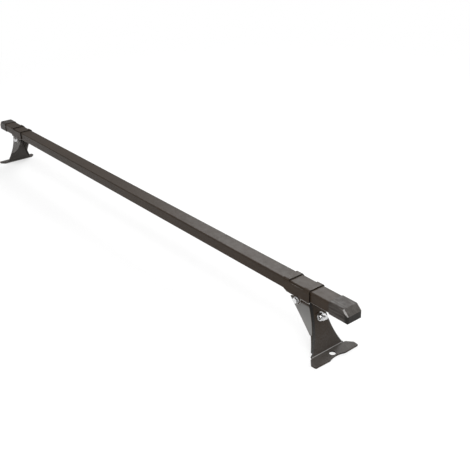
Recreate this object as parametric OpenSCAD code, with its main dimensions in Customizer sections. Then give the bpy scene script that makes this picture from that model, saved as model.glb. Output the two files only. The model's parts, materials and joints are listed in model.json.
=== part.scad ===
// Roof rack crossbar: a steel box bar carried by two pressed steel feet.
// Units are millimetres. X runs along the bar, Y across it, Z up from the roof.
// The origin lies midway between the feet, at the height of their bases.

/* [Bar] */
// Length of the steel tube between the noses of its caps
bar_len = 1385; // [900:5:1800]
// Width of the tube across its top
bar_w = 32; // [28:1:36]
// Height of the tube
bar_h = 22; // [20:1:28]
// Wall of the tube
bar_wall = 1.5; // [1.2:0.1:2.5]
// Outer corner radius of the tube
bar_corner = 2.5; // [2:0.5:3.5]

/* [End caps] */
// Wall of a cap where it sleeves the tube
cap_wall = 1.5; // [1.2:0.1:1.8]
// Length of tube that a cap covers
cap_grip = 28; // [20:1:30]
// Length of a cap's nose beyond the tube
cap_nose = 14; // [12:1:20]
// Run and drop of the sloped top of the nose
cap_slope = 10.5; // [8:0.5:11]
// Corner radius of the nose seen from above
cap_round = 5; // [3:0.5:8]

/* [Feet] */
// Distance of a saddle's outer edge from the end of the tube
foot_inset = 73; // [50:1:280]
// Height of the bar's underside above the roof
foot_drop = 90; // [84:1:100]
// Sheet thickness of a foot
foot_sheet = 2.5; // [2:0.1:3]
// Lean of the front plate away from upright, in degrees
foot_lean = 18; // [15:0.5:22]
// Width of the front plate where it meets the base
fold_w = 77; // [70:1:80]
// Height above the base at which the front plate starts to flare
flare_h = 80; // [50:0.5:84]
// Outer radius of the bends down the sides of the front plate
side_bend = 4.5; // [4:0.1:6]
// Inner radius of the bend between front plate and base
base_bend = 2; // [1.5:0.1:3]
// Length of a side plate along the underside of the bar
brace_run = 53; // [50:1:64]
// Height above the base at which the side plates' slanted edge ends
brace_end = 33; // [28:0.5:40]
// Bow of the slanted edge
brace_bow = 4; // [2:0.5:8]
// Length of the notch that the slanted edge ends in
brace_notch = 3; // [2:0.5:5]
// Depth of the side flange below the slanted edge
flange_w = 8; // [7:0.5:12]
// Radius of the relief between a side flange and the base
relief_r = 4; // [3:0.5:5]

/* [Foot base] */
// Length of the base over its ears
base_w = 103; // [98:1:112]
// Length of the base where the ears leave the fold
ear_root_w = 83; // [81:1:90]
// Depth of the base from the fold to the outer edge of the ears
base_depth = 23.5; // [23:0.5:30]
// Depth of the slanted corner of an ear
ear_slant = 12.5; // [8:0.5:14]
// Depth of the scallop in the outer edge
scallop_depth = 4; // [2:0.5:4.5]
// Length of the scallop
scallop_w = 36; // [28:1:44]
// Diameter of the fixing hole
fixing_d = 12; // [9:0.5:13]
// Distance of the fixing hole from the fold
fixing_set = 11.5; // [10.5:0.5:12]

/* [Saddles] */
// Length of a saddle along the bar
saddle_len = 65; // [64:1:76]
// Sheet thickness of a saddle
saddle_sheet = 2; // [1.5:0.1:2.5]
// Width of each strap across the top of the bar
strap_w = 14; // [10:1:18]
// Depth of the saddle's sides below the bar
saddle_drop = 1.5; // [1:0.5:5]
// Height that the window is cut down into each side
window_cut = 2.5; // [1:0.5:6]
// Corner radius of the window
window_round = 3; // [1.5:0.5:4]
// Radius of the round tab about the clamp bolt
tab_r = 9; // [8.5:0.5:11]

/* [Fasteners] */
// Thread diameter of the clamp bolt
clamp_d = 6; // [6:1:8]
// Thread diameter of the front bolt
front_d = 8; // [6:1:8]
// Distance of the clamp bolt from the saddle's outer edge
clamp_in = 30.5; // [28:0.5:36]
// Depth of the clamp bolt below the bar
clamp_set = 6.5; // [5.5:0.5:9]
// Depth of the front bolt below the bar, where it leaves the front plate
front_set = 28.5; // [27:0.5:32]
// Length of the clamp bolt under its head
clamp_bolt_len = 45; // [45:1:60]
// Length of the front bolt under its head
front_bolt_len = 20; // [18:1:26]

/* [Hidden] */
// Sliding clearance between the bar and each foot
slide_gap = 0.1;
// Clearance of a bolt in its hole
hole_gap = 0.3;
// Overlap that keeps cuts clean
cut = 1;
// Length that a flat of the foot runs into the bend beside it
seam = 0.3;
feet_span = bar_len - 2 * foot_inset;
leg_half = bar_w / 2 + slide_gap;
leg_top = foot_drop - slide_gap;
fold_set = (foot_drop - foot_sheet) * tan(foot_lean);
flare_rise = flare_h / cos(foot_lean);
flare_step = fold_w / 2 - leg_half;
flare_r = (flare_rise * flare_rise + flare_step * flare_step) / (2 * flare_step);
plate_len = foot_drop / cos(foot_lean) + 2.4 * foot_sheet;
form_depth = (brace_run + fold_set) / cos(foot_lean) + 8 * foot_sheet;
bend_set = base_bend / tan((90 + foot_lean) / 2);
fold_half = leg_half + flare_r - sqrt(pow(flare_r, 2) - pow(flare_rise - bend_set, 2));
relief_rise = bend_set + relief_r + 2 * seam;
brace_foot = [fold_set - 2.4 * foot_sheet, foot_sheet + relief_rise];
bend_back = fold_set - 1.4 * foot_sheet;
scallop_r = (scallop_w * scallop_w / 4 + scallop_depth * scallop_depth) / (2 * scallop_depth);
clamp_z = foot_drop - clamp_set;
clamp_face = leg_half + saddle_sheet;
front_rise = (foot_drop - front_set - foot_sheet) / cos(foot_lean);
steel_black = [0.10, 0.10, 0.10];
plastic_black = [0.16, 0.16, 0.16];
zinc = [0.78, 0.79, 0.80];
$fn = 64;

// Sizes of a bolt, its hole, washers and nut, from the thread diameter
function hole_r(d) = d / 2 + hole_gap;
function washer_r(d) = d;
function washer_h(d) = d * 0.2;
function hex_w(d) = d * 1.65;
function head_h(d) = d * 0.66;
function nut_h(d) = d * 0.81;

// A flat outline in Y and Z, pulled along X from x0 to x1
module along_x(x0, x1) {
  translate([x0, 0, 0])
    rotate([90, 0, 90])
      linear_extrude(height = x1 - x0)
        children();
}

// A flat outline in X and Z, pulled along Y by half on each side
module along_y(half) {
  translate([0, half, 0])
    rotate([90, 0, 0])
      linear_extrude(height = 2 * half)
        children();
}

// Rectangle with round corners, half_w to each side of Y = 0, from z0 to z1
module round_box(half_w, z0, z1, r) {
  translate([-half_w + r, z0])
    square([2 * (half_w - r), z1 - z0]);
  translate([-half_w, z0 + r])
    square([2 * half_w, z1 - z0 - 2 * r]);
  for (side = [-1, 1]) {
    translate([side * (half_w - r), z0 + r])
      circle(r = r);
    translate([side * (half_w - r), z1 - r])
      circle(r = r);
  }
}

// Everything on a foot is drawn with X = 0 at the outer edge of its saddle
module right_side() {
  translate([feet_span / 2, 0, 0])
    children();
}

module left_side() {
  rotate([0, 0, 180])
    right_side()
      children();
}

// The bar: box section steel tube, open inside from end to end
module crossbar_tube() {
  color(steel_black)
    translate([0, 0, foot_drop])
      along_x(-bar_len / 2, bar_len / 2)
        difference() {
          round_box(bar_w / 2, 0, bar_h, bar_corner);
          round_box(bar_w / 2 - bar_wall, bar_wall, bar_h - bar_wall, bar_corner - bar_wall);
        }
}

// Side view of a cap's nose, a wall thickness t inside its outer faces
module nose_side(x0, t) {
  x1 = cap_nose - t;
  z0 = t - cap_wall;
  z1 = bar_h + cap_wall - t;
  foot_r = 2 * cap_wall;
  polygon([
    [x0, z0],
    [x1 - foot_r, z0],
    [x1 - foot_r, z0 + foot_r],
    [x1, z0 + foot_r],
    [x1, z1],
    [x0, z1]
  ]);
  translate([x1 - foot_r, z0 + foot_r])
    circle(r = foot_r);
}

// Plan view of a cap's nose, a wall thickness t inside its outer faces
module nose_plan(x0, t) {
  half = bar_w / 2 + cap_wall - t;
  r = cap_round - t;
  x1 = cap_nose - t;
  translate([x0, -half])
    square([x1 - r - x0, 2 * half]);
  translate([x0, -half + r])
    square([x1 - x0, 2 * (half - r)]);
  for (side = [-1, 1])
    translate([x1 - r, side * (half - r)])
      circle(r = r);
}

// Prism under the nose's slope, round along the slope's side edges
module nose_slope(t) {
  run = cap_slope - t * (2 - sqrt(2));
  ease = 0.3 * cap_wall;
  reach = 3 * bar_h;
  translate([cap_nose - t, 0, bar_h + cap_wall - t - run])
    rotate([0, 45, 0])
      along_x(-reach, reach)
        round_box(bar_w / 2 + cap_wall - t + ease, -reach, 0, cap_round - t);
}

module nose_form(x0, t) {
  intersection() {
    along_x(x0, cap_nose)
      round_box(bar_w / 2 + cap_wall - t, t - cap_wall, bar_h + cap_wall - t, bar_corner + cap_wall - t);
    along_y(bar_w)
      nose_side(x0, t);
    translate([0, 0, -bar_h])
      linear_extrude(height = 3 * bar_h)
        nose_plan(x0, t);
    nose_slope(t);
  }
}

// Moulded cap: a sleeve over the tube's end, with a sloped hollow nose
module end_cap() {
  color(plastic_black)
    translate([bar_len / 2, 0, foot_drop])
      difference() {
        nose_form(-cap_grip, 0);
        along_x(-cap_grip - cut, 0)
          round_box(bar_w / 2, 0, bar_h, bar_corner);
        nose_form(-cut, 1.7 * cap_wall);
      }
}

// The saddle seen from its end: an inverted U that fits over the bar
module saddle_section() {
  r = bar_corner + slide_gap;
  top = bar_h + slide_gap;
  difference() {
    round_box(clamp_face, -3 * bar_h, top + saddle_sheet, r + saddle_sheet);
    round_box(leg_half, -4 * bar_h, top, r);
  }
}

// The saddle seen from the side, with its window, end slant and bolt tabs
module saddle_side() {
  slant = saddle_drop + 1.5 * saddle_sheet;
  window = saddle_len - 2 * strap_w;
  sill = bar_h - window_cut;
  difference() {
    union() {
      polygon([
        [-saddle_len, slant - saddle_drop],
        [-saddle_len + 2 * slant, -saddle_drop],
        [0, -saddle_drop],
        [0, 2 * bar_h],
        [-saddle_len, 2 * bar_h]
      ]);
      translate([-clamp_in - tab_r, -clamp_set])
        square([2 * tab_r, clamp_set]);
      translate([-clamp_in, -clamp_set])
        circle(r = tab_r);
    }
    translate([-strap_w - window, sill + window_round])
      square([window, 2 * bar_h]);
    translate([-strap_w - window + window_round, sill])
      square([window - 2 * window_round, window_round + cut]);
    translate([-strap_w - window_round, sill + window_round])
      circle(r = window_round);
    translate([-strap_w - window + window_round, sill + window_round])
      circle(r = window_round);
    translate([-clamp_in, -clamp_set])
      circle(r = hole_r(clamp_d));
  }
}

// Pressed saddle: two straps over the bar, joined by a plate down each side
module saddle() {
  color(steel_black)
    translate([0, 0, foot_drop])
      intersection() {
        along_x(-saddle_len, 0)
          saddle_section();
        along_y(bar_w)
          saddle_side();
      }
}

// Carries a shape from the front plate's own axes, X out of it and Z up along it
module on_front_plate() {
  translate([fold_set, 0, foot_sheet])
    rotate([0, -foot_lean, 0])
      children();
}

// Outline of the front plate, straight above and flared by an arc below
module flare_outline(inset, over) {
  arc_y = leg_half + flare_r;
  below = 2.4 * foot_sheet;
  difference() {
    union() {
      translate([-leg_half + inset, flare_rise - cut])
        square([2 * (leg_half - inset), plate_len + over - flare_rise + cut]);
      translate([-arc_y, -below - over])
        square([2 * arc_y, flare_rise + below + over]);
    }
    for (side = [-1, 1])
      translate([side * arc_y, flare_rise])
        circle(r = flare_r + inset, $fn = 180);
  }
}

// Section across one side of the leg: X inwards from the side's outer face, Y out of the front
module edge_section(t) {
  core = side_bend + 1.6 * foot_sheet;
  translate([side_bend, -form_depth - t])
    square([core - side_bend, form_depth]);
  translate([t, -form_depth - t])
    square([core - t, form_depth + t - side_bend]);
  translate([side_bend, -side_bend])
    circle(r = side_bend - t);
}

// The leg as a solid form with round front edges, a thickness t inside its outer faces
module leg_form(t) {
  along_x(-form_depth - t, -t)
    flare_outline(side_bend + 0.8 * foot_sheet, t);
  for (side = [0, 1])
    mirror([0, side, 0]) {
      translate([0, leg_half, flare_rise])
        rotate([0, 0, -90])
          linear_extrude(height = plate_len + t - flare_rise)
            edge_section(t);
      rotate([90, 0, 90])
        translate([leg_half + flare_r, flare_rise, 0])
          rotate([0, 0, 180])
            rotate_extrude(angle = 60, $fn = 180)
              translate([flare_r, 0])
                edge_section(t);
    }
}

// The foot seen from the side: bowed slant from the saddle to a notch, then a narrow flange
module leg_side() {
  flange_x = fold_set - (brace_end - foot_sheet) * tan(foot_lean) - flange_w;
  flange_lean = (flange_x - brace_foot[0]) / (brace_end - brace_foot[1]);
  lap = 2 * foot_sheet;
  slant = [flange_x - brace_notch + brace_run, brace_end - leg_top];
  chord = norm(slant);
  bow_r = (chord * chord / 4 + brace_bow * brace_bow) / (2 * brace_bow);
  middle = [slant[0] / 2 - brace_run, leg_top + slant[1] / 2];
  far = fold_set + foot_drop;
  intersection() {
    translate([-2 * brace_run, brace_end])
      square([2 * brace_run + far, leg_top - brace_end]);
    translate(middle + (bow_r - brace_bow) * [-slant[1], slant[0]] / chord)
      circle(r = bow_r, $fn = 180);
  }
  polygon([
    [flange_x + lap * flange_lean, brace_end + lap],
    brace_foot,
    [bend_back, brace_foot[1]],
    [bend_back, 0],
    [far, 0],
    [far, brace_end + lap]
  ]);
}

// Front plate and both side plates, one folded sheet
module leg() {
  intersection() {
    on_front_plate()
      difference() {
        leg_form(0);
        leg_form(foot_sheet);
        translate([-2 * form_depth, -2 * base_w, bend_set - seam - foot_drop])
          cube([3 * form_depth, 4 * base_w, foot_drop]);
      }
    along_y(base_w)
      leg_side();
  }
}

// The bend that turns the front plate out into the base
module fold() {
  bend_x = fold_set + bend_set;
  bend_z = foot_sheet + base_bend;
  reach = 2 * (base_bend + foot_sheet);
  along_y(fold_half)
    translate([bend_x, bend_z])
      intersection() {
        difference() {
          circle(r = base_bend + foot_sheet);
          circle(r = base_bend);
        }
        polygon([
          [0, 0],
          [-reach * cos(foot_lean), -reach * sin(foot_lean)],
          [-reach, -reach],
          [0, -reach]
        ]);
      }
}

// The base seen from above: ears with slanted corners and a scalloped outer edge
module base_outline() {
  x0 = fold_set + bend_set - seam;
  x1 = fold_set + base_depth;
  tip = 0.25 * foot_sheet;
  difference() {
    polygon([
      [x0, -ear_root_w / 2],
      [fold_set + ear_slant, -base_w / 2],
      [x1 - 1.5 * tip, tip - base_w / 2],
      [x1, 3 * tip - base_w / 2],
      [x1 + tip, 3 * tip - scallop_w / 2],
      [x1 + tip, scallop_w / 2 - 3 * tip],
      [x1, base_w / 2 - 3 * tip],
      [x1 - 1.5 * tip, base_w / 2 - tip],
      [fold_set + ear_slant, base_w / 2],
      [x0, ear_root_w / 2]
    ]);
    translate([x1 + tip - scallop_depth + scallop_r, 0])
      circle(r = scallop_r, $fn = 180);
    translate([fold_set + fixing_set, 0])
      circle(r = fixing_d / 2);
  }
}

// Pressed foot: base, front plate and two slanted side plates from one sheet
module foot() {
  color(steel_black)
    difference() {
      union() {
        leg();
        fold();
        linear_extrude(height = foot_sheet)
          base_outline();
      }
      translate([-clamp_in, bar_w, clamp_z])
        rotate([90, 0, 0])
          cylinder(r = hole_r(clamp_d), h = 2 * bar_w);
      on_front_plate()
        translate([-2 * foot_sheet, 0, front_rise])
          rotate([0, 90, 0])
            cylinder(r = hole_r(front_d), h = 4 * foot_sheet);
      for (side = [-1, 1])
        on_front_plate()
          translate([-form_depth, side * (fold_half + relief_r / 3), relief_rise])
            rotate([0, 90, 0])
              cylinder(r = relief_r, h = form_depth + foot_sheet);
    }
}

// Hexagon for thread d along X from 0 to h, its corners turned down at the outer end
module hex_form(d, h) {
  rotate([0, 90, 0])
    intersection() {
      cylinder(r = hex_w(d) / sqrt(3), h = h, $fn = 6);
      cylinder(r1 = hex_w(d) * 0.5 + h * 1.2, r2 = hex_w(d) * 0.49, h = h);
    }
}

// Hexagon head bolt, its shank running along -X from 0
module bolt(d, len) {
  point = d / 8;
  hex_form(d, head_h(d));
  rotate([0, -90, 0])
    cylinder(d = d, h = len - point);
  translate([point - len, 0, 0])
    rotate([0, -90, 0])
      cylinder(d1 = d, d2 = 0.8 * d, h = point);
}

module washer(d) {
  rotate([0, 90, 0])
    difference() {
      cylinder(r = washer_r(d), h = washer_h(d));
      translate([0, 0, -cut])
        cylinder(r = hole_r(d), h = washer_h(d) + 2 * cut);
    }
}

module nut(d) {
  difference() {
    hex_form(d, nut_h(d));
    translate([-cut, 0, 0])
      rotate([0, 90, 0])
        cylinder(d = d, h = nut_h(d) + 2 * cut);
  }
}

// Places on the clamp bolt's axis, X pointing outwards at distance out from a tab
module at_clamp(side, out) {
  translate([-clamp_in, side * (clamp_face + out), clamp_z])
    rotate([0, 0, side * 90])
      children();
}

// Places on the front bolt's axis, at distance out from the front plate's outer face
module at_front(out) {
  on_front_plate()
    translate([out, 0, front_rise])
      children();
}

module clamp_bolt() {
  color(zinc)
    at_clamp(-1, washer_h(clamp_d))
      bolt(clamp_d, clamp_bolt_len);
}

module clamp_head_washer() {
  color(zinc)
    at_clamp(-1, 0)
      washer(clamp_d);
}

module clamp_nut_washer() {
  color(zinc)
    at_clamp(1, 0)
      washer(clamp_d);
}

module clamp_nut() {
  color(zinc)
    at_clamp(1, washer_h(clamp_d))
      nut(clamp_d);
}

module front_bolt() {
  color(zinc)
    at_front(-foot_sheet - washer_h(front_d))
      rotate([0, 0, 180])
        bolt(front_d, front_bolt_len);
}

module front_head_washer() {
  color(zinc)
    at_front(-foot_sheet - washer_h(front_d))
      washer(front_d);
}

module front_washer() {
  color(zinc)
    at_front(0)
      washer(front_d);
}

module front_nut() {
  color(zinc)
    at_front(washer_h(front_d))
      nut(front_d);
}

module left_end_cap() rotate([0, 0, 180]) end_cap();
module right_end_cap() end_cap();
module left_saddle() left_side() saddle();
module right_saddle() right_side() saddle();
module left_foot() left_side() foot();
module right_foot() right_side() foot();
module left_clamp_bolt() left_side() clamp_bolt();
module right_clamp_bolt() right_side() clamp_bolt();
module left_clamp_head_washer() left_side() clamp_head_washer();
module right_clamp_head_washer() right_side() clamp_head_washer();
module left_clamp_nut_washer() left_side() clamp_nut_washer();
module right_clamp_nut_washer() right_side() clamp_nut_washer();
module left_clamp_nut() left_side() clamp_nut();
module right_clamp_nut() right_side() clamp_nut();
module left_front_bolt() left_side() front_bolt();
module right_front_bolt() right_side() front_bolt();
module left_front_head_washer() left_side() front_head_washer();
module right_front_head_washer() right_side() front_head_washer();
module left_front_washer() left_side() front_washer();
module right_front_washer() right_side() front_washer();
module left_front_nut() left_side() front_nut();
module right_front_nut() right_side() front_nut();

crossbar_tube();
left_end_cap();
right_end_cap();
left_saddle();
right_saddle();
left_foot();
right_foot();
left_clamp_bolt();
right_clamp_bolt();
left_clamp_head_washer();
right_clamp_head_washer();
left_clamp_nut_washer();
right_clamp_nut_washer();
left_clamp_nut();
right_clamp_nut();
left_front_bolt();
right_front_bolt();
left_front_head_washer();
right_front_head_washer();
left_front_washer();
right_front_washer();
left_front_nut();
right_front_nut();
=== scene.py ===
import json
import math

import bmesh
import bpy
from mathutils import Matrix, Vector

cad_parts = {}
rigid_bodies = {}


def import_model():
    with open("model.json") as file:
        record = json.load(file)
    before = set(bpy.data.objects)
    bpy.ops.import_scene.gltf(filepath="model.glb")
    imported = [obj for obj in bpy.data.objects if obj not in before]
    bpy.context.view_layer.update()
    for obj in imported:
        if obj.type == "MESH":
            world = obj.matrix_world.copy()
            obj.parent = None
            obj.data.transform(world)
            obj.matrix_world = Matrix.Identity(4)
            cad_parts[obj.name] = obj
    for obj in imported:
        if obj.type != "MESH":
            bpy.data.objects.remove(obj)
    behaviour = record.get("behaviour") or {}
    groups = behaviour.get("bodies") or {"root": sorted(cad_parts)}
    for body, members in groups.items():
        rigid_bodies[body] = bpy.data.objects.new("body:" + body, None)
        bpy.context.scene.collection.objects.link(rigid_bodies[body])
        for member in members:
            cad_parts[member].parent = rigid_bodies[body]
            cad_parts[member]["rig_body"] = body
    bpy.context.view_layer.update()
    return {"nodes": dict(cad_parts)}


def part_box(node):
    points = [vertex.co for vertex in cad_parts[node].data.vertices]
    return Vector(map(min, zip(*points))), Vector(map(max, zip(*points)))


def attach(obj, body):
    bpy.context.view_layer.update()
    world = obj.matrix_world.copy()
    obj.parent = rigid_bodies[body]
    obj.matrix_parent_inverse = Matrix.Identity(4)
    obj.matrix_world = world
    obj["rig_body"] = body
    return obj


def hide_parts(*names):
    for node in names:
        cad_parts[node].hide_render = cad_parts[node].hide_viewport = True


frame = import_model()

# Sizes in metres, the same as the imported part's
FOOT_LEAN = math.radians(18.0)
LEG_FRONT = 0.64874
SIDE_PLATE_LOW = 0.0335
SIDE_PLATE_HIGH = 0.0840
CREASE_HIGH = 0.0120
SADDLE_LOW = 0.0896
BAR_MIDDLE_LOW = 0.0860
NOSE_FRONT = 0.7010
CLAMP_RADIUS = 0.003
CLAMP_PITCH = 0.001
CLAMP_LENGTH = 0.045
CLAMP_HEAD = 0.00396
FRONT_RADIUS = 0.004
FRONT_PITCH = 0.00125
FRONT_LENGTH = 0.020
FRONT_WASHER = 0.0016

# Thread: its steps round a turn, where its first turn starts, and its root, flank and crest
THREAD_STEPS = 24
THREAD_START = 0.03
THREAD_ROOT = 0.61
THREAD_SHAPE = ((0.0, False), (0.25, False), (0.56, True), (0.69, True))
THREAD_POINT = 0.9
POINT_TAPER = 0.75

# Softened edges: sheared sheet, moulded plastic and small hardware
FOOT_EDGE = 0.00045
SADDLE_EDGE = 0.0004
CAP_EDGE = 0.0007
HARDWARE_EDGE = 0.00018
ROUNDED_FROM = math.radians(32.0)

# Mesh work
MERGE_REACH = 2e-6
FLAT_ANGLE = math.radians(0.4)
THREAD_SHARP = math.radians(30.0)
SEAT_CUT = 0.00002

# Where the photograph was taken from
CAMERA_PLACE = (1.36242, -0.73957, 0.73186)
CAMERA_TURN = 0.91572
CAMERA_DIP = 0.45884
CAMERA_ROLL = -0.03947
LENS = 55.08

# Studio
FLOOR_HALF = 60.0
FLOOR_DROP = 0.0004


# Camera


def aim_camera():
    """Camera at the photograph's place, its axes worked out from turn, dip and roll."""
    ahead = Vector(
        (
            -math.sin(CAMERA_TURN) * math.cos(CAMERA_DIP),
            math.cos(CAMERA_TURN) * math.cos(CAMERA_DIP),
            -math.sin(CAMERA_DIP),
        )
    )
    right = ahead.cross(Vector((0, 0, 1))).normalized()
    up = right.cross(ahead)
    side = right * math.cos(CAMERA_ROLL) + up * math.sin(CAMERA_ROLL)
    top = up * math.cos(CAMERA_ROLL) - right * math.sin(CAMERA_ROLL)
    data = bpy.data.cameras.new("studio_camera")
    data.lens = LENS
    data.sensor_width = 36.0
    data.clip_start = 0.02
    data.clip_end = 200.0
    camera = bpy.data.objects.new("studio_camera", data)
    bpy.context.scene.collection.objects.link(camera)
    camera.matrix_world = Matrix.Translation(CAMERA_PLACE) @ Matrix(
        (side, top, -ahead)
    ).transposed().to_4x4()
    bpy.context.scene.camera = camera


# Finishes


class Finish:
    """One material and short ways to add its nodes."""

    def __init__(self, name):
        self.material = bpy.data.materials.new(name)
        self.material.use_nodes = True
        self.tree = self.material.node_tree
        self.surface = self.tree.nodes["Principled BSDF"]
        place = self.tree.nodes.new("ShaderNodeTexCoord")
        self.place = place.outputs["Object"]

    def add(self, kind, **settings):
        made = self.tree.nodes.new(kind)
        for key, value in settings.items():
            setattr(made, key, value)
        return made

    def link(self, start, end):
        self.tree.links.new(start, end)

    def noise(self, scale, detail=2.0, rough=0.5, stretch=None):
        made = self.add("ShaderNodeTexNoise")
        made.inputs["Scale"].default_value = scale
        made.inputs["Detail"].default_value = detail
        made.inputs["Roughness"].default_value = rough
        source = self.place
        if stretch:
            turned = self.add("ShaderNodeMapping")
            turned.inputs["Scale"].default_value = stretch
            self.link(self.place, turned.inputs["Vector"])
            source = turned.outputs["Vector"]
        self.link(source, made.inputs["Vector"])
        return made.outputs["Fac"]

    def spread(self, source, low, high, to_low=0.0, to_high=1.0):
        made = self.add("ShaderNodeMapRange")
        made.interpolation_type = "SMOOTHSTEP"
        made.inputs["From Min"].default_value = low
        made.inputs["From Max"].default_value = high
        made.inputs["To Min"].default_value = to_low
        made.inputs["To Max"].default_value = to_high
        self.link(source, made.inputs["Value"])
        return made.outputs["Result"]

    def sum_up(self, kind, first, second=0.0):
        made = self.add("ShaderNodeMath", operation=kind)
        self.link(first, made.inputs[0])
        if isinstance(second, float):
            made.inputs[1].default_value = second
        else:
            self.link(second, made.inputs[1])
        return made.outputs["Value"]

    def times(self, first, second):
        return self.sum_up("MULTIPLY", first, second)

    def blend_colours(self, amount, first, second):
        made = self.add("ShaderNodeMix", data_type="RGBA")
        self.link(amount, made.inputs["Factor"])
        for value, socket in ((first, made.inputs["A"]), (second, made.inputs["B"])):
            if isinstance(value, tuple):
                socket.default_value = (*value, 1.0)
            else:
                self.link(value, socket)
        return made.outputs["Result"]

    def edge(self, radius, low, high):
        """1 along sharp edges and corners, fading to 0 within the radius."""
        rounded = self.add("ShaderNodeBevel", samples=6)
        rounded.inputs["Radius"].default_value = radius
        flat = self.add("ShaderNodeNewGeometry")
        match = self.add("ShaderNodeVectorMath", operation="DOT_PRODUCT")
        self.link(rounded.outputs["Normal"], match.inputs[0])
        self.link(flat.outputs["Normal"], match.inputs[1])
        return self.spread(match.outputs["Value"], low, high, 1.0, 0.0)

    def axes_of(self, source):
        parts = self.add("ShaderNodeSeparateXYZ")
        self.link(source, parts.inputs["Vector"])
        return parts.outputs

    def normal_height(self, low, high, to_low=0.0, to_high=1.0):
        """Follows how far a surface faces up, from -1 below to 1 on top."""
        flat = self.add("ShaderNodeNewGeometry")
        height = self.axes_of(flat.outputs["Normal"])["Z"]
        return self.spread(height, low, high, to_low, to_high)

    def turned_along(self, axis, low, high):
        """1 where a surface faces along an axis, either way."""
        flat = self.add("ShaderNodeNewGeometry")
        facing = self.sum_up("ABSOLUTE", self.axes_of(flat.outputs["Normal"])[axis])
        return self.spread(facing, low, high)

    def turned_between(self, first, second, low, high):
        """1 where a surface faces between two axes, as on a rounded edge or a bend."""
        flat = self.add("ShaderNodeNewGeometry")
        axes = self.axes_of(flat.outputs["Normal"])
        product = self.times(axes[first], axes[second])
        return self.spread(self.sum_up("ABSOLUTE", product), low, high)

    def along_leg(self):
        """Distance out from the bar's middle, measured square to the lean of the feet's legs."""
        axes = self.axes_of(self.place)
        outwards = self.sum_up("ABSOLUTE", axes["X"])
        return self.sum_up("ADD", outwards, self.times(axes["Z"], math.tan(FOOT_LEAN)))

    def height(self, low, high, to_low=0.0, to_high=1.0):
        """Follows the height above the roof."""
        return self.spread(self.axes_of(self.place)["Z"], low, high, to_low, to_high)

    def bump(self, height, strength, distance, under=None):
        made = self.add("ShaderNodeBump")
        made.inputs["Strength"].default_value = strength
        made.inputs["Distance"].default_value = distance
        self.link(height, made.inputs["Height"])
        if under is not None:
            self.link(under, made.inputs["Normal"])
        return made.outputs["Normal"]


def mixed_coat(name):
    """Starts a brown-black powder coat: cloudy tone with faint drawing lines of the steel."""
    coat = Finish(name)
    cloud = coat.spread(coat.noise(22.0, 4.0), 0.30, 0.70)
    body = coat.blend_colours(cloud, (0.0225, 0.0120, 0.0048), (0.0280, 0.0158, 0.0070))
    drawn = coat.spread(coat.noise(95.0, 3.0, 0.55, (0.02, 1.0, 1.0)), 0.40, 0.66, 0.0, 0.25)
    colour = coat.blend_colours(drawn, body, (0.036, 0.027, 0.020))
    return coat, colour


def cured_coat(coat, colour, metal=None):
    """Ends a powder coat: settled dust, semi-gloss, orange peel and the steel's soft waves."""
    settled = coat.times(
        coat.normal_height(0.0, 0.50), coat.height(0.0040, BAR_MIDDLE_LOW, 1.0, 0.32)
    )
    specks = coat.spread(coat.noise(420.0, 5.0, 0.6), 0.32, 0.70, 0.30, 0.58)
    dust = coat.times(settled, specks)
    dusty = coat.blend_colours(dust, colour, (0.108, 0.106, 0.104))
    coat.link(dusty, coat.surface.inputs["Base Color"])
    gloss = coat.spread(coat.noise(120.0, 5.0), 0.3, 0.72, 0.35, 0.42)
    dulled = coat.sum_up("ADD", gloss, coat.times(dust, 0.22))
    coat.link(dulled, coat.surface.inputs["Roughness"])
    if metal is not None:
        coat.link(metal, coat.surface.inputs["Metallic"])
    peel = coat.bump(coat.noise(1100.0, 2.0, 0.4), 0.20, 0.00012)
    waves = coat.bump(coat.noise(130.0, 2.0), 0.06, 0.0003, peel)
    coat.link(waves, coat.surface.inputs["Normal"])
    coat.surface.inputs["Specular IOR Level"].default_value = 0.14
    return coat.material


def tube_coat():
    """Coat of the tube, with a painted highlight in broken streaks along its lower corners."""
    coat, colour = mixed_coat("tube_powder_coat")
    underneath = coat.normal_height(-0.35, -0.15, 1.0, 0.0)
    corner = coat.times(coat.turned_between("Y", "Z", 0.18, 0.40), underneath)
    # Painted highlight: the lower corner rounding painted light, standing in for the rim catching
    # the white floor's reflection.
    painted_highlight = coat.times(corner, coat.spread(coat.noise(240.0, 4.0), 0.30, 0.62, 0.5, 0.9))
    return cured_coat(coat, coat.blend_colours(painted_highlight, colour, (0.24, 0.23, 0.22)))


def saddle_coat():
    """Coat of a saddle: painted shade on the strap end faces, and a bright metallic painted
    highlight along the lower edge and tabs.
    """
    coat, colour = mixed_coat("saddle_powder_coat")
    above = coat.height(SADDLE_LOW - 0.0001, SADDLE_LOW + 0.0014)
    # Painted shade: the strap end faces, square to the bar and above the lower edge, painted near
    # black as the shadow at each strap's end.
    painted_shade_ends = coat.times(coat.turned_along("X", 0.50, 0.80), above)
    colour = coat.blend_colours(painted_shade_ends, colour, (0.005, 0.004, 0.003))
    # Painted highlight: the lower edge and tabs painted bright and made metallic in broken
    # streaks, standing in for the rim catching the floor's light.
    below = coat.height(SADDLE_LOW, SADDLE_LOW + 0.0019, 1.0, 0.0)
    edge = coat.times(coat.edge(0.0026, 0.72, 0.985), below)
    painted_edge_highlight = coat.times(edge, coat.spread(coat.noise(240.0, 4.0), 0.30, 0.62, 0.80, 1.0))
    return cured_coat(coat, coat.blend_colours(painted_edge_highlight, colour, (0.88, 0.87, 0.85)), painted_edge_highlight)


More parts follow.
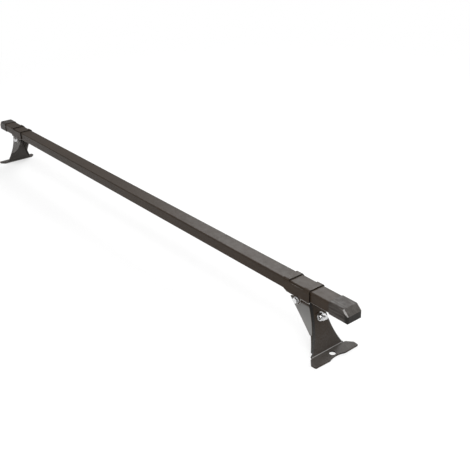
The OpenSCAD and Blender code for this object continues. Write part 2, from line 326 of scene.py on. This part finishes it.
def foot_coat():
    """Coat of a foot: painted shade on the side bends, a painted highlight along the fold line at
    the base, greyer side plates with painted shade and shadow on them, and a greyer back.
    """
    coat, colour = mixed_coat("foot_powder_coat")
    axes = coat.axes_of(coat.place)
    faces = coat.axes_of(coat.add("ShaderNodeNewGeometry").outputs["Normal"])
    outwards = coat.times(faces["X"], coat.sum_up("SIGN", axes["X"]))
    back = coat.spread(outwards, -0.85, -0.60, 0.85, 0.0)
    colour = coat.blend_colours(back, colour, (0.052, 0.048, 0.045))

    # Painted shade: the rounded side bends between front and side plates painted near black.
    bend = coat.turned_between("X", "Y", 0.10, 0.32)
    colour = coat.blend_colours(bend, colour, (0.006, 0.005, 0.004))
    # Painted highlight: a light line along the fold line between front plate and base, where its
    # rounding would catch the front lamp.
    low = coat.height(CREASE_HIGH - 0.0030, CREASE_HIGH, 1.0, 0.0)
    painted_highlight_fold = coat.times(coat.turned_between("X", "Z", 0.36, 0.46), low)
    colour = coat.blend_colours(coat.times(painted_highlight_fold, 0.8), colour, (0.42, 0.41, 0.40))

    # Greyer side plates, the grey partly painted light: it stops short beneath the saddle as
    # painted shadow, darkens upwards as painted shade, and is weaker on the left foot as painted
    # shade.
    behind_bend = coat.spread(coat.along_leg(), LEG_FRONT - 0.0052, LEG_FRONT - 0.0040, 1.0, 0.0)
    from_low = coat.height(SIDE_PLATE_LOW, SIDE_PLATE_LOW + 0.0015)
    below_painted_saddle_shadow = coat.height(SIDE_PLATE_HIGH - 0.0055, SIDE_PLATE_HIGH, 1.0, 0.0)
    plate = coat.times(behind_bend, coat.times(from_low, below_painted_saddle_shadow))
    side_plate_grey_and_painted_shade = coat.times(plate, coat.spread(axes["X"], -0.60, 0.60, 0.35, 1.0))
    # Painted shade: the grey darkens upwards, towards the saddle's overhang.
    rise = coat.height(SIDE_PLATE_LOW + 0.0015, 0.0800)
    grey = coat.blend_colours(rise, (0.255, 0.250, 0.243), (0.165, 0.162, 0.156))
    colour = coat.blend_colours(side_plate_grey_and_painted_shade, colour, grey)
    return cured_coat(coat, colour, coat.times(side_plate_grey_and_painted_shade, 0.45))


def moulded_plastic():
    """Satin black polypropylene: flow streaks, painted shade on the front face, painted light in
    blotches on the slope, and painted highlights on the slope's side edges.
    """
    skin = Finish("black_moulded_plastic")
    cloud = skin.spread(skin.noise(45.0, 3.0), 0.35, 0.7)
    body = skin.blend_colours(cloud, (0.020, 0.0150, 0.0115), (0.028, 0.0215, 0.0170))
    flow = skin.spread(skin.noise(330.0, 4.0, 0.6, (0.08, 1.0, 1.0)), 0.38, 0.64, 0.0, 0.55)
    colour = skin.blend_colours(flow, body, (0.074, 0.067, 0.061))

    # Painted shade: the upright front face of the cap painted darker than the slope above it.
    sideways = skin.sum_up("ABSOLUTE", skin.axes_of(skin.place)["X"])
    upright = skin.normal_height(0.10, 0.45, 1.0, 0.0)
    nose = skin.times(skin.spread(sideways, NOSE_FRONT - 0.0025, NOSE_FRONT), upright)
    colour = skin.blend_colours(nose, colour, (0.0100, 0.0080, 0.0065))

    # Painted light: the slope between front and top painted lighter, in blotches.
    slope_blotches = skin.spread(skin.noise(150.0, 4.0), 0.3, 0.7, 0.3, 0.7)
    slope = skin.times(skin.turned_between("X", "Z", 0.30, 0.44), slope_blotches)
    colour = skin.blend_colours(slope, colour, (0.078, 0.072, 0.066))

    # Painted highlight: the slope's side edges painted light in broken streaks.
    upwards = skin.normal_height(0.20, 0.45)
    slope_edge = skin.times(skin.turned_between("X", "Y", 0.12, 0.30), upwards)
    painted_highlight = skin.times(slope_edge, skin.spread(skin.noise(300.0, 3.0), 0.3, 0.65, 0.6, 1.0))
    colour = skin.blend_colours(painted_highlight, colour, (0.34, 0.33, 0.32))
    skin.link(colour, skin.surface.inputs["Base Color"])

    gloss = skin.spread(skin.noise(90.0, 3.0), 0.3, 0.7, 0.40, 0.50)
    skin.link(gloss, skin.surface.inputs["Roughness"])
    grain = skin.bump(skin.noise(2600.0, 2.0), 0.22, 0.00008)
    skin.link(grain, skin.surface.inputs["Normal"])
    skin.surface.inputs["Specular IOR Level"].default_value = 0.20
    return skin.material


def zinc_plate():
    """Bright zinc on steel fasteners, clouded and spotted; painted shade darkens it in patches
    inside the legs.
    """
    zinc = Finish("bright_zinc_plate")
    cloud = zinc.spread(zinc.noise(260.0, 4.0), 0.32, 0.7)
    plated = zinc.blend_colours(cloud, (0.60, 0.60, 0.61), (0.84, 0.84, 0.84))
    dull = zinc.spread(zinc.noise(520.0, 5.0, 0.6), 0.60, 0.74, 0.0, 0.55)
    spotted = zinc.blend_colours(dull, plated, (0.36, 0.355, 0.345))
    # Painted shade: hardware inside the legs painted dark, in patches.
    leg = zinc.along_leg()
    inside_leg = zinc.times(
        zinc.spread(leg, LEG_FRONT - 0.0160, LEG_FRONT - 0.0140),
        zinc.spread(leg, LEG_FRONT - 0.0027, LEG_FRONT - 0.0023, 1.0, 0.0),
    )
    painted_shade_in_leg = zinc.times(inside_leg, zinc.spread(zinc.noise(600.0, 3.0), 0.25, 0.45, 0.75, 1.0))
    colour = zinc.blend_colours(painted_shade_in_leg, spotted, (0.050, 0.047, 0.044))
    zinc.link(colour, zinc.surface.inputs["Base Color"])
    gloss = zinc.spread(zinc.noise(420.0, 3.0), 0.3, 0.7, 0.20, 0.34)
    zinc.link(gloss, zinc.surface.inputs["Roughness"])
    marks = zinc.bump(zinc.noise(1500.0, 2.0), 0.15, 0.00006)
    zinc.link(marks, zinc.surface.inputs["Normal"])
    zinc.surface.inputs["Metallic"].default_value = 1.0
    return zinc.material


def white_floor():
    """Matt white sheet that takes the crossbar's shadow and turns plain white further out."""
    sheet = Finish("white_floor_sheet")
    tone = sheet.spread(sheet.noise(3.0, 2.0), 0.3, 0.7)
    colour = sheet.blend_colours(tone, (0.90, 0.90, 0.90), (0.93, 0.93, 0.93))
    sheet.link(colour, sheet.surface.inputs["Base Color"])
    sheet.surface.inputs["Roughness"].default_value = 0.9
    sheet.surface.inputs["Specular IOR Level"].default_value = 0.1
    glow = sheet.add("ShaderNodeEmission")
    glow.inputs["Strength"].default_value = 1.0
    away = sheet.add("ShaderNodeVectorMath", operation="LENGTH")
    sheet.link(sheet.place, away.inputs[0])
    share = sheet.spread(away.outputs["Value"], 0.5, 2.2, 0.62, 1.0)
    ray = sheet.add("ShaderNodeLightPath")
    direct = sheet.sum_up("MAXIMUM", ray.outputs["Is Camera Ray"], ray.outputs["Is Glossy Ray"])
    seen = sheet.sum_up("MAXIMUM", direct, ray.outputs["Is Transmission Ray"])
    mixed = sheet.add("ShaderNodeMixShader")
    sheet.link(sheet.times(seen, share), mixed.inputs["Fac"])
    sheet.link(sheet.surface.outputs["BSDF"], mixed.inputs[1])
    sheet.link(glow.outputs["Emission"], mixed.inputs[2])
    sheet.link(mixed.outputs["Shader"], sheet.tree.nodes["Material Output"].inputs["Surface"])
    return sheet.material


# Pieces


def merged_copy(node):
    """A CAD node's mesh as a bmesh, its loose triangles joined into whole faces."""
    shape = bmesh.new()
    shape.from_mesh(frame["nodes"][node].data)
    bmesh.ops.remove_doubles(shape, verts=shape.verts, dist=MERGE_REACH)
    bmesh.ops.dissolve_limit(shape, angle_limit=FLAT_ANGLE, verts=shape.verts, edges=shape.edges)
    return shape


def finished(shape, name, node, material):
    """Puts a bmesh in the scene in place of a CAD node, riding on that node's body."""
    mesh = bpy.data.meshes.new(name)
    shape.to_mesh(mesh)
    shape.free()
    for extra in ("custom_normal", "sharp_edge", "sharp_face"):
        if extra in mesh.attributes:
            mesh.attributes.remove(mesh.attributes[extra])
    mesh.materials.clear()
    mesh.materials.append(material)
    mesh.polygons.foreach_set("use_smooth", [True] * len(mesh.polygons))
    piece = bpy.data.objects.new(name, mesh)
    bpy.context.scene.collection.objects.link(piece)
    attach(piece, frame["nodes"][node]["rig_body"])
    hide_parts(node)
    return piece


def soften_edges(piece, width, steps):
    """Small rounding along every sharp edge, as sheared or moulded edges have."""
    rounding = piece.modifiers.new("edge_rounding", "BEVEL")
    rounding.width = width
    rounding.segments = steps
    rounding.limit_method = "ANGLE"
    rounding.angle_limit = ROUNDED_FROM
    rounding.harden_normals = True
    rounding.use_clamp_overlap = True


def softened_copy(node, width, material, steps=2):
    piece = finished(merged_copy(node), node + "_finished", node, material)
    soften_edges(piece, width, steps)
    return piece


def close_rim(shape, place, way):
    """Cuts a shape off flat at a place, drops what lies beyond and closes the end."""
    cut = bmesh.ops.bisect_plane(
        shape,
        geom=shape.verts[:] + shape.edges[:] + shape.faces[:],
        plane_co=place,
        plane_no=way,
        clear_outer=True,
    )
    rim = [part for part in cut["geom_cut"] if isinstance(part, bmesh.types.BMEdge)]
    bmesh.ops.holes_fill(shape, edges=rim, sides=0)


def threaded_shank(radius, pitch, length):
    """Thread along -X from 0 to length, one screw turn of a toothed line, with a tapered point."""
    root = radius - THREAD_ROOT * pitch
    shape = bmesh.new()
    line = []
    for turn in range(-2, int(length / pitch) + 2):
        for share, on_crest in THREAD_SHAPE:
            place = -(turn + share + THREAD_START) * pitch
            line.append(shape.verts.new((place, 0, radius if on_crest else root)))
    edges = [shape.edges.new(pair) for pair in zip(line, line[1:])]
    bmesh.ops.spin(
        shape,
        geom=line + edges,
        cent=(0, 0, 0),
        axis=(1, 0, 0),
        dvec=(-pitch / THREAD_STEPS, 0, 0),
        angle=2 * math.pi,
        steps=THREAD_STEPS,
        use_merge=False,
        use_duplicate=False,
    )
    bmesh.ops.remove_doubles(shape, verts=shape.verts, dist=MERGE_REACH)
    close_rim(shape, (0, 0, 0), (1, 0, 0))
    close_rim(shape, (-length, 0, 0), (-1, 0, 0))
    point = THREAD_POINT * pitch
    for vert in shape.verts:
        past = -vert.co.x - (length - point)
        reach = math.hypot(vert.co.y, vert.co.z)
        limit = radius - POINT_TAPER * past
        if past > 0 and reach > limit:
            vert.co.y *= limit / reach
            vert.co.z *= limit / reach
    return shape


def threaded_bolt(node, seat, outwards, radius, pitch, length, material):
    """Bolt with its CAD head and a cut thread; seat is the middle of the head's underside."""
    way = Vector(outwards).normalized()
    shape = merged_copy(node)
    close_rim(shape, seat + way * SEAT_CUT, -way)
    shank = threaded_shank(radius, pitch, length)
    turn = Vector((1, 0, 0)).rotation_difference(way).to_matrix().to_4x4()
    bmesh.ops.transform(shank, matrix=Matrix.Translation(seat) @ turn, verts=shank.verts)
    bmesh.ops.recalc_face_normals(shank, faces=shank.faces)
    painted_edge_highlight = bpy.data.meshes.new(node + "_thread")
    shank.to_mesh(painted_edge_highlight)
    shank.free()
    shape.from_mesh(painted_edge_highlight)
    bpy.data.meshes.remove(painted_edge_highlight)
    bmesh.ops.dissolve_degenerate(shape, edges=shape.edges, dist=MERGE_REACH / 2)
    piece = finished(shape, node + "_threaded", node, material)
    piece.data.set_sharp_from_angle(angle=THREAD_SHARP)
    return piece


def make_clamp_bolt(side, sign, zinc):
    low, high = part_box(side + "_clamp_bolt")
    middle = (low + high) / 2
    head_end = low.y if sign > 0 else high.y
    seat = Vector((middle.x, head_end + sign * CLAMP_HEAD, middle.z))
    threaded_bolt(
        side + "_clamp_bolt", seat, (0, -sign, 0), CLAMP_RADIUS, CLAMP_PITCH, CLAMP_LENGTH, zinc
    )


def make_front_bolt(side, sign, zinc):
    outwards = Vector((sign * math.cos(FOOT_LEAN), 0, math.sin(FOOT_LEAN)))
    low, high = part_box(side + "_front_head_washer")
    seat = (low + high) / 2 - outwards * (FRONT_WASHER / 2)
    threaded_bolt(
        side + "_front_bolt", seat, -outwards, FRONT_RADIUS, FRONT_PITCH, FRONT_LENGTH, zinc
    )


def make_foot_set(side, sign, on_foot, on_saddle, zinc):
    """Pressed foot and saddle with softened edges, and their hardware."""
    softened_copy(side + "_foot", FOOT_EDGE, on_foot)
    softened_copy(side + "_saddle", SADDLE_EDGE, on_saddle)
    make_clamp_bolt(side, sign, zinc)
    make_front_bolt(side, sign, zinc)
    for part in ("clamp_head_washer", "clamp_nut_washer", "clamp_nut"):
        softened_copy(side + "_" + part, HARDWARE_EDGE, zinc)
    for part in ("front_head_washer", "front_washer", "front_nut"):
        softened_copy(side + "_" + part, HARDWARE_EDGE, zinc)


def dress_frame(on_tube, plastic, zinc):
    """Gives every CAD node its finish; of these, only the tube stays in sight."""
    finishes = {"black_steel": on_tube, "black_plastic": plastic, "zinc_steel": zinc}
    for node in frame["nodes"].values():
        for place in node.material_slots:
            place.material = finishes[place.material.name.split(".")[0]]


# Studio


def lay_floor():
    shape = bmesh.new()
    bmesh.ops.create_grid(shape, x_segments=8, y_segments=8, size=FLOOR_HALF)
    bmesh.ops.translate(shape, verts=shape.verts, vec=(0, 0, -FLOOR_DROP))
    mesh = bpy.data.meshes.new("studio_floor")
    shape.to_mesh(mesh)
    shape.free()
    mesh.materials.append(white_floor())
    floor = bpy.data.objects.new("studio_floor", mesh)
    bpy.context.scene.collection.objects.link(floor)


def soft_lamp(name, place, target, width, height, power):
    data = bpy.data.lights.new(name, "AREA")
    data.shape = "RECTANGLE"
    data.size = width
    data.size_y = height
    data.energy = power
    lamp = bpy.data.objects.new(name, data)
    bpy.context.scene.collection.objects.link(lamp)
    lamp.location = place
    lamp.rotation_mode = "QUATERNION"
    lamp.rotation_quaternion = (Vector(target) - Vector(place)).to_track_quat("-Z", "Y")
    lamp.visible_camera = False


def light_room():
    """Dim near the horizon and brighter overhead, as a room lit from its ceiling."""
    world = bpy.data.worlds.new("studio_world")
    world.use_nodes = True
    bpy.context.scene.world = world
    tree = world.node_tree
    back = tree.nodes["Background"]
    place = tree.nodes.new("ShaderNodeTexCoord")
    parts = tree.nodes.new("ShaderNodeSeparateXYZ")
    tree.links.new(place.outputs["Generated"], parts.inputs["Vector"])
    rise = tree.nodes.new("ShaderNodeMapRange")
    rise.interpolation_type = "SMOOTHSTEP"
    rise.inputs["From Min"].default_value = 0.2
    rise.inputs["From Max"].default_value = 0.9
    rise.inputs["To Min"].default_value = 0.29
    rise.inputs["To Max"].default_value = 0.75
    tree.links.new(parts.outputs["Z"], rise.inputs["Value"])
    tree.links.new(rise.outputs["Result"], back.inputs["Color"])
    back.inputs["Strength"].default_value = 1.0


def light_studio():
    light_room()
    soft_lamp("back_softbox", (-1.05, 1.55, 1.62), (0.45, 0, 0.1), 1.4, 1.1, 31.0)
    soft_lamp("top_softbox", (0.9, -0.6, 2.6), (0.3, 0, 0), 1.8, 1.4, 30.0)
    soft_lamp("front_softbox", (1.55, 1.05, 1.0), (0.65, 0, 0.08), 0.8, 0.8, 7.0)
    soft_lamp("near_softbox", (1.66, -0.86, 0.75), (0.70, 0, 0.08), 0.35, 0.35, 4.6)


def main():
    aim_camera()
    on_foot = foot_coat()
    on_saddle = saddle_coat()
    plastic = moulded_plastic()
    zinc = zinc_plate()
    dress_frame(tube_coat(), plastic, zinc)
    for side, sign in (("left", -1), ("right", 1)):
        make_foot_set(side, sign, on_foot, on_saddle, zinc)
        softened_copy(side + "_end_cap", CAP_EDGE, plastic, 3)
    lay_floor()
    light_studio()
    bpy.context.scene.view_settings.view_transform = "Standard"


main()
